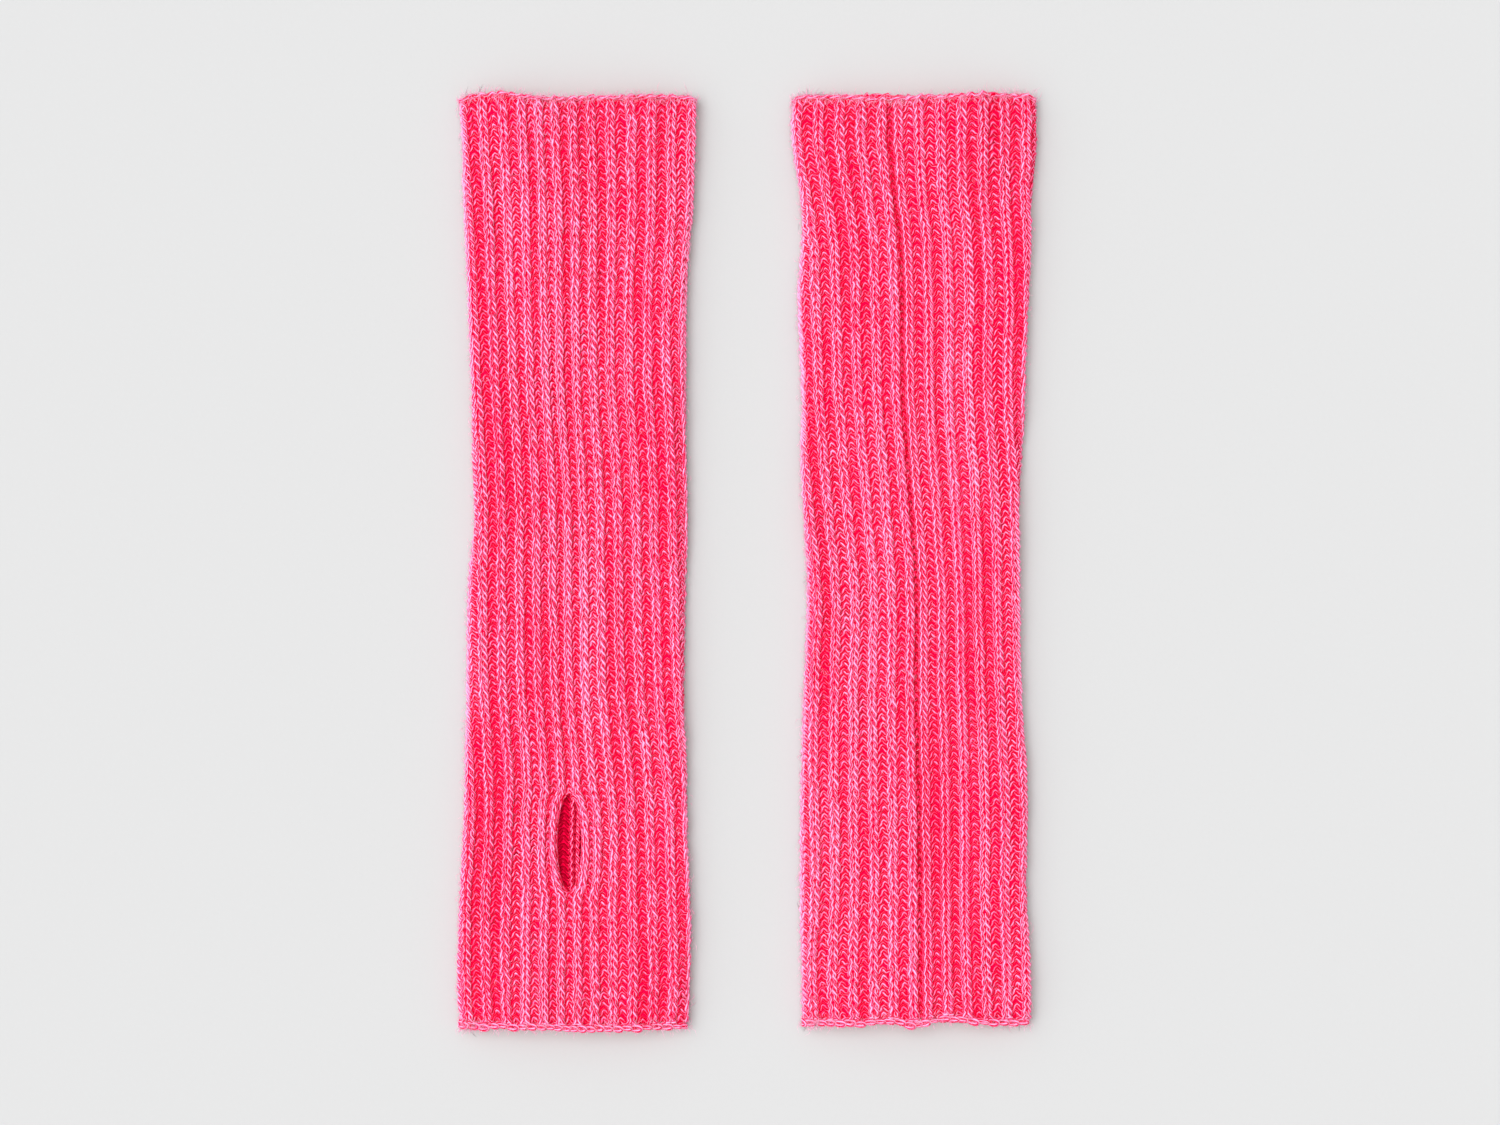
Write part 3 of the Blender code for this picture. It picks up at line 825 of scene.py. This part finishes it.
def courses(warmer, material, rng):
    """All the rows of stitches, as tubes of yarn round the warmer.

    The yarn's rise across a crest stitch, with t from -1 to 1, is middle - swing cos(2 pi t), so
    the two legs of the stitch come to the front. It stays low across a valley. Where a course
    crosses the open slit, its yarn is cut there and has a cap at each side.
    """
    wale, share, on_crest = course_samples(warmer)
    row_count = int(round((warmer.length - HAND_ROW - ARM_ROW) / ROW_PITCH)) + 1
    row_up = np.linspace(HAND_ROW, warmer.length - ARM_ROW, row_count)[:, None]
    arch = np.full(row_up.shape, VALLEY_ARCH)
    arch[-1] = LAST_ARCH
    across, down, bell = stitch_path(on_crest, share, arch)
    across = wale / 2 + across
    rise = np.where(
        on_crest,
        CREST_MIDDLE - YARN_SWING * np.cos(2 * math.pi * share),
        CREST_MIDDLE - YARN_SWING + VALLEY_RISE * bell,
    )
    samples = len(across)
    wales = 4 * HALF_PANEL + 1
    lane = wale + 2 * HALF_PANEL
    shift = unevenness(rng, row_count, wales, ACROSS_UNEVEN)
    lift = unevenness(rng, row_count, wales, OUTWARDS_UNEVEN)
    slip = unevenness(rng, row_count, wales, ALONG_UNEVEN)
    fullness = 1.0 + FULLNESS_UNEVEN * rng.normal(size=(row_count, wales))
    shade = SHADE_UNEVEN * soft_noise(rng, row_count, wales, *SHADE_STEPS)
    shift[:, [0, 2 * HALF_PANEL, -1]] = 0.0  # nothing moves across the slit or the seam
    slip[:, [0, -1]] = 0.0

    lip = int(np.flatnonzero((wale == 0) & (share == 0.0))[0])
    panel = across + shift[:, lane]
    panel[:, lip] = -TINY  # each of the two places at the slit is on its own side of it
    up = np.maximum(row_up - down + slip[:, lane], LOWEST_YARN)
    height = rise + lift[:, lane]
    place, outward = warmer.on_tube(panel, up, height)
    spread = np.where(on_crest, 1.0, 1.0 + (VALLEY_FULLNESS - 1.0) * bell)
    radius = YARN_RADIUS * fullness[:, lane] * spread
    # In millimetres: the crest beside the seam is half a rib from it
    from_seam = (HALF_PANEL - np.abs(panel)) * SEAM_PULL_AT * 2
    # Painted shade in the seam's groove
    depth = yarn_depth(height) - SEAM_PAINTED_SHADE * np.exp(-((from_seam / SEAM_GROOVE_WIDTH) ** 2))
    # Painted light: the yarn is painted paler where the cloth turns sideways at the folds, more at
    # the left, where the window is
    haze = np.where(outward[..., 0] < 0.0, *FOLD_PAINTED_LIGHT)
    sideways = smooth_step(2.0 * (np.abs(outward[..., 0]) - FOLD_PAINTED_LIGHT_FROM))
    depth = depth + haze * sideways + shade[:, lane]

    crossing = row_up[:, 0] + LOOP_HALF_HEIGHT + VALLEY_ARCH
    is_open = (crossing > SLIT_START) & (crossing < SLIT_END)
    pieces = []
    limits = np.linspace(0, row_count, BANDS + 1).astype(int)
    for band, (start, end) in enumerate(zip(limits, limits[1:], strict=False)):
        rows = slice(start, end)
        index = np.arange((end - start) * samples).reshape(-1, samples)
        joined = ~is_open[rows]
        index[joined, lip + 1] = index[joined, lip]
        pieces.append(
            yarn(
                f"{warmer.name}_courses_{band + 1}",
                place[rows],
                outward[rows],
                radius[rows],
                depth[rows],
                material,
                index=index,
                skip=lip,
            )
        )
    return pieces


# The yarn's colour follows this depth, as painted shade low down and painted light high up
def yarn_depth(rise):
    """0 below the valleys' stitches and 1 on the crests, for a rise of the yarn's middle."""
    return (rise - DEEPEST) / (RIB_RISE - YARN_RADIUS - DEEPEST)


def edge_chain(warmer, material, rng):
    """The bound-off chain along the hand end: a ring of yarn for each wale, drawn out along the
    edge, whose head lies on the next ring's tail. With t round the ring, its place along is
    middle + reach cos t, its place up is up + width sin t - lean cos t, and its rise is
    rise + tilt cos t."""
    links = 4 * HALF_PANEL  # one for each crest and one for each valley
    t = np.linspace(0.0, 2 * math.pi, CHAIN_SAMPLES, endpoint=False)
    middle = (np.arange(links)[:, None] + 0.5) / 2 - HALF_PANEL
    uneven = rng.normal(size=(3, links, 1))
    panel = middle + CHAIN_REACH * np.cos(t) + CHAIN_ALONG_UNEVEN * uneven[0]
    up = CHAIN_UP + CHAIN_WIDTH * np.sin(t) * (1.0 + CHAIN_WIDTH_UNEVEN * uneven[1])
    up = up - CHAIN_LEAN * np.cos(t) + CHAIN_UP_UNEVEN * uneven[2]
    rise = np.broadcast_to(CHAIN_RISE + CHAIN_TILT * np.cos(t), panel.shape)
    panel = (panel + HALF_PANEL) % (2 * HALF_PANEL) - HALF_PANEL
    place, outward = warmer.on_tube(panel, up, rise)
    fullness = np.broadcast_to(1.0 + FULLNESS_UNEVEN * uneven[1], panel.shape)
    radius = CHAIN_RADIUS * fullness
    # Painted light: the chain is painted paler than its depth gives
    depth = yarn_depth(rise) + CHAIN_PALER
    return yarn(f"{warmer.name}_edge_chain", place, outward, radius, depth, material)


def cast_on(warmer, material, rng):
    """The cord along the arm end: it follows the ribs up and down, and stands out a little at
    each stitch, twice in a rib."""
    samples = 2 * HALF_PANEL * CAST_ON_SAMPLES
    panel = np.linspace(-HALF_PANEL, HALF_PANEL, samples, endpoint=False)[None]
    crest = crest_share(panel)
    stitch = 0.5 + 0.5 * np.cos(4 * math.pi * panel)
    along_uneven, out_uneven = CAST_ON_UNEVEN
    up = warmer.length - CAST_ON_IN + CAST_ON_SCALLOP * stitch
    up = up + along_uneven * rng.normal(size=panel.shape)
    rise = CAST_ON_RISE + CAST_ON_CREST * crest + out_uneven * rng.normal(size=panel.shape)
    place, outward = warmer.on_tube(panel, up, rise)
    thin, full = CAST_ON_FULLNESS
    fullness = thin + (full - thin) * stitch + FULLNESS_UNEVEN * rng.normal(size=panel.shape)
    radius = CAST_ON_RADIUS * fullness
    low, high = CAST_ON_DEPTHS
    # Painted light: the cord is painted pale, palest on its stitches
    depth = low + (high - low) * stitch
    return yarn(f"{warmer.name}_cast_on", place, outward, radius, depth, material)


def slit_cords(warmer, material, rng):
    """Two cords round the slit, the upper one at its lips and the lower one inside: up one side
    and down the other, with a small wave for each course."""
    count = int(round((SLIT_END - SLIT_START) / LIP_STEP))
    up = np.linspace(SLIT_START - LIP_PAST_SLIT, SLIT_END + LIP_PAST_SLIT, count + 1)
    up = np.tile(np.concatenate([up, up[-2:0:-1]]), (len(LIP_RISES), 1))
    side = np.concatenate([-np.ones(count), np.ones(count)])
    wave = np.sin(2 * math.pi * up / ROW_PITCH)
    wave_across, wave_outwards = LIP_WAVE
    panel = side * (TINY + np.array(LIP_OUTS)[:, None] + wave_across * wave)
    panel[:, [0, count]] = side[[0, count]] * TINY
    rise = np.array(LIP_RISES)[:, None] + wave_outwards * wave
    rise = rise + LIP_UNEVEN * rng.normal(size=up.shape)
    place, outward = warmer.on_tube(panel, up, rise)
    radius = LIP_RADIUS * (1.0 + FULLNESS_UNEVEN * rng.normal(size=up.shape))
    return yarn(
        f"{warmer.name}_slit_edge", place, outward, radius, yarn_depth(rise), material
    )


def inner_courses(warmer, material, rng):
    """The stitches on the inner face of the side across from the slit, as far as they show
    through it: one crest, with the valley at each side of it."""
    wale = np.repeat([-1, 0, 1], FINE_CREST)
    share = np.tile(np.linspace(-1.0, 1.0, FINE_CREST + 1)[:-1], 3)
    on_crest = wale == 0
    across, down, _ = stitch_path(on_crest, share, VALLEY_ARCH)
    front = np.where(on_crest, 0.5 - 0.5 * np.cos(2 * math.pi * share), 0.0)
    rows = np.arange(SLIT_START - INNER_PAST_SLIT, SLIT_END + INNER_PAST_SLIT, ROW_PITCH)[:, None]
    along_uneven, out_uneven = INNER_UNEVEN
    up = rows - down + along_uneven * rng.normal(size=rows.shape)
    rise = INNER_RISE - INNER_SWING * front + out_uneven * rng.normal(size=up.shape)
    place, outward = warmer.on_tube(INNER_CREST + wale / 2 + across, up, rise)
    radius = np.full(up.shape, YARN_RADIUS)
    low, high = INNER_DEPTHS
    # Painted shade: the colour is darker at the back of each stitch
    depth = np.broadcast_to(low + (high - low) * front, up.shape)
    return yarn(
        f"{warmer.name}_inner_courses", place, -outward, radius, depth, material, closed=False
    )


def fuzz(warmer, material, rng):
    """Loose fibre ends over all that shows: each is a closed spindle of six triangles, bent at
    its middle, that leaves the yarn at a low angle."""
    tried = TRIED_FOR_EACH * FIBRES
    # Of the places tried, one in eight goes to the left fold, one in fifteen to the arm end and
    # one in thirty to the hand end
    panel = rng.uniform(-TOP_RIBS[0], TOP_RIBS[1], tried)
    panel[3::8] = rng.uniform(-TOP_RIBS[0], FUZZY_FOLD_TO, len(panel[3::8]))
    if not warmer.slit_is_on_top:
        panel = np.where(panel < 0, HALF_PANEL + panel, panel - HALF_PANEL)
    crest = crest_share(panel)
    up = rng.uniform(0.5, warmer.length - 0.5, tried)
    up[::15] = warmer.length - rng.uniform(*END_FUZZ, len(up[::15]))
    up[7::30] = rng.uniform(*END_FUZZ, len(up[7::30]))
    start, outward = warmer.on_tube(panel, up, RIB_RISE * crest + FIBRE_ROOT)
    # They show most at the folds and the ends, so more are kept there, and none over the slit
    at_slit = (np.abs(panel) < BARE_AT_SLIT) & (up > SLIT_START) & (up < SLIT_END)
    at_end = (up < END_FUZZ[1]) | (up > warmer.length - END_FUZZ[1])
    sideways = np.abs(outward[:, 0])
    chance = np.where(at_end, KEPT_AT_ENDS, KEPT_ON_TOP + (1.0 - KEPT_ON_TOP) * sideways)
    chance = np.where(at_slit, 0.0, chance)
    kept = np.flatnonzero(rng.uniform(size=len(panel)) < chance)[:FIBRES]
    start, outward = start[kept], outward[kept]
    count = len(kept)
    along_ribs = np.array([0.0, 1.0, 0.0])
    across = unit(np.cross(outward, along_ribs))
    angle = rng.choice([-0.5, 0.5], count)[:, None] * math.pi
    angle = angle + rng.normal(0.0, FIBRE_TURN, (count, 1))  # most lie nearly along the ribs
    level = np.cos(angle) * across + np.sin(angle) * along_ribs
    lean = rng.uniform(*FIBRE_LEANS, count)[:, None]
    way = unit(level + lean * outward)
    length = rng.gamma(FIBRE_LENGTHS_EVEN, FIBRE_LENGTH / FIBRE_LENGTHS_EVEN, count)[:, None]
    bend = unit(np.cross(way, rng.normal(size=(count, 3)))) * length * FIBRE_BEND
    middle = start + 0.55 * length * way + bend
    tip = start + length * way - FIBRE_DROOP * length * outward
    side = unit(np.cross(tip - start, outward))
    other = unit(np.cross(tip - start, side))
    third = 2 * math.pi / 3
    mid_ring = [
        middle + FIBRE_RADIUS * (math.cos(k * third) * side + math.sin(k * third) * other)
        for k in range(3)
    ]
    points = np.stack([start, *mid_ring, tip], axis=1).reshape(-1, 3)
    points[:, 2] = np.maximum(points[:, 2], LOWEST_FIBRE)
    one = np.array([[0, 2, 1], [0, 3, 2], [0, 1, 3], [4, 1, 2], [4, 2, 3], [4, 3, 1]])
    faces = (np.arange(count)[:, None, None] * 5 + one).reshape(-1, 3)
    return show(f"{warmer.name}_fuzz", points, [faces], material)


# The stage


def stage():
    """The board, and an even pale light: a large soft lamp almost overhead, a little to the left,
    a window low at the left, and the walls of the room. The lamps are a little cool and the walls
    a little warm, which comes out neutral on the board."""
    mesh = bpy.data.meshes.new("board")
    half = 3.0  # metres: its edges lie far outside the picture
    mesh.from_pydata(
        [(-half, -half, 0.0), (half, -half, 0.0), (half, half, 0.0), (-half, half, 0.0)],
        [],
        [(0, 1, 2, 3)],
    )
    mesh.materials.append(painted_board())
    board = bpy.data.objects.new("board", mesh)
    bpy.context.scene.collection.objects.link(board)

    def sun(name, azimuth, height, strength, spread):
        """A far soft lamp. Its azimuth is counted from +Y towards +X, and spread is how wide it
        looks from the board, all in degrees."""
        light = bpy.data.lights.new(name, "SUN")
        light.energy = strength
        light.color = (0.965, 0.978, 1.0)
        light.angle = math.radians(spread)
        holder = bpy.data.objects.new(name, light)
        holder.rotation_euler = (
            math.radians(90.0 - height), 0.0, math.radians(180.0 - azimuth)
        )
        bpy.context.scene.collection.objects.link(holder)

    sun("softbox", -65.0, 74.0, 2.3, 60.0)
    sun("window", -90.0, 14.0, 2.4, 110.0)
    world = bpy.data.worlds.new("studio")
    world.use_nodes = True
    background = world.node_tree.nodes["Background"]
    background.inputs["Color"].default_value = (1.0, 0.985, 0.96, 1.0)
    background.inputs["Strength"].default_value = 0.68
    bpy.context.scene.world = world


def camera():
    """Straight above, framed as the photograph: its pixel is 0.45 mm, and the pair's middle is
    at pixel 746.94, 561.35 of 1500 by 1125."""
    pixel = 0.45
    middle_x, middle_y = 746.94, 561.35
    width, height = 1500, 1125
    view = bpy.data.cameras.new("camera")
    view.sensor_width = 36.0
    view.lens = 70.0
    holder = bpy.data.objects.new("camera", view)
    distance = width * pixel * view.lens / view.sensor_width
    holder.location = (
        (width / 2 - middle_x) * pixel * MM,
        -(height / 2 - middle_y) * pixel * MM,
        (distance + TOP_VALLEY) * MM,
    )
    view.clip_end = 10.0
    bpy.context.scene.collection.objects.link(holder)
    bpy.context.scene.camera = holder
    bpy.context.scene.view_settings.view_transform = "Standard"


def main():
    """Both warmers, each with its ground, stitches and loose fibres, on the board."""
    rng = np.random.default_rng(7)
    wool = wool_yarn("brushed_wool_yarn", 0.18, "#d2002a")
    # A shaded copy of the yarn, for the stitches that show through the slit: a deeper red in its
    # gaps and no sheen, as painted shade
    inside = wool_yarn("wool_yarn_inside_the_tube", 0.0, "#b00026")
    ground = wool_ground()
    fibre = wool_fibre()
    left = Warmer(
        name="left",
        middle_x=-76.25,
        hand_end_y=-210.45,
        slit_is_on_top=True,
        pitches=(7.0, 8.5),
        under_shift=5.7,
        sections=LEFT_SECTIONS,
        waves=LEFT_WAVES,
    )
    right = Warmer(
        name="right",
        middle_x=77.75,
        hand_end_y=-208.85,
        slit_is_on_top=False,
        pitches=(7.8, 8.7),
        under_shift=0.0,
        sections=RIGHT_SECTIONS,
        waves=RIGHT_WAVES,
    )
    nodes = {
        "left": ("left_slit_side", "left_seam_side_a", "left_seam_side_b"),
        "right": ("right_slit_side", "right_seam_side_a", "right_seam_side_b"),
    }
    for warmer in (left, right):
        shell = ground_shell(warmer, ground)
        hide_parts(*nodes[warmer.name])
        pieces = courses(warmer, wool, rng)
        pieces.append(edge_chain(warmer, wool, rng))
        pieces.append(cast_on(warmer, wool, rng))
        pieces.append(slit_cords(warmer, wool, rng))
        pieces.append(inner_courses(warmer, inside, rng))
        pieces.append(fuzz(warmer, fibre, rng))
    stage()
    camera()


main()
